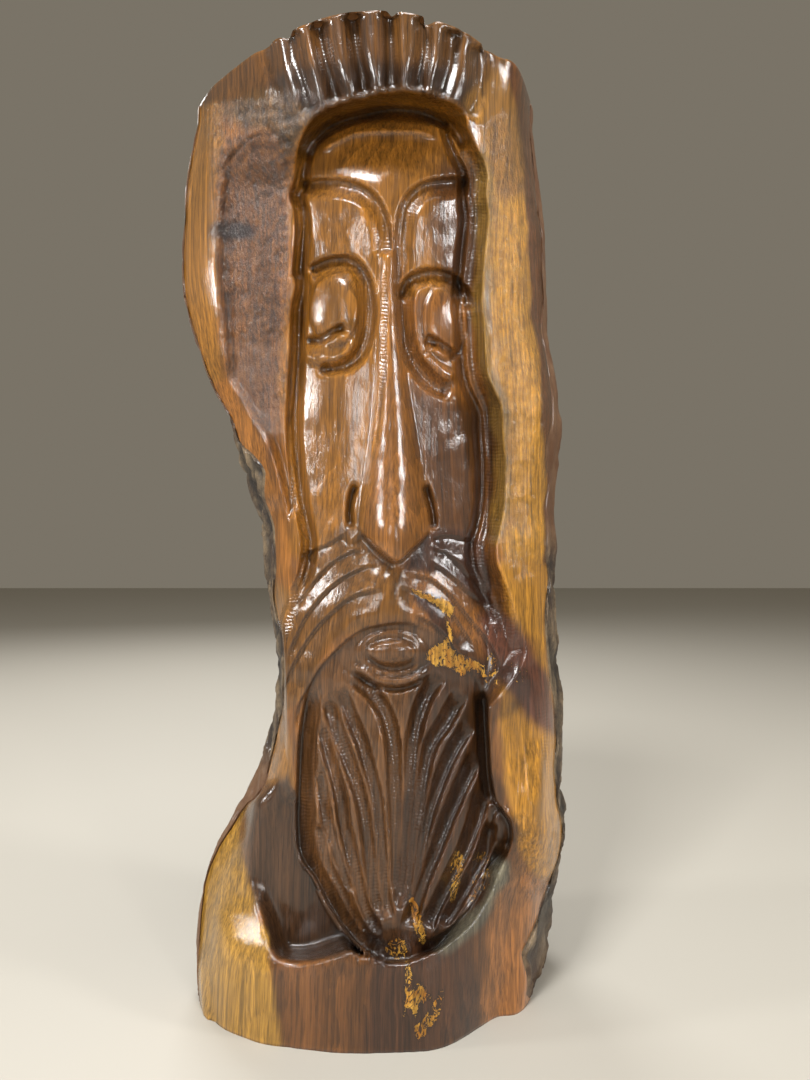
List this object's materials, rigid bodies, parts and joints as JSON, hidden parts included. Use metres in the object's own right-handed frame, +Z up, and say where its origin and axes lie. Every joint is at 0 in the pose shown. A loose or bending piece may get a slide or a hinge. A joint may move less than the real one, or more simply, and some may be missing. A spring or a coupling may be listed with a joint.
{
  "type": "carved wood face sculpture",
  "caption": "Upright log carved in the front with a long bearded face in a recess under a fluted crest of hair, bark left on the flanks and back, flat underside.",
  "frame": {"origin": "centre of the bounding box in plan, on the underside", "axes": "+Z up the log, the carved face looks along -Y, +X to the viewer's right"},
  "size_m": [0.1778, 0.1293, 0.4],
  "materials": {
    "varnished_wood": "oiled and gloss-varnished heartwood and sapwood, bark left dark"
  },
  "bodies": {
    "root": {"carved_log": "varnished_wood"}
  },
  "joints": []
}
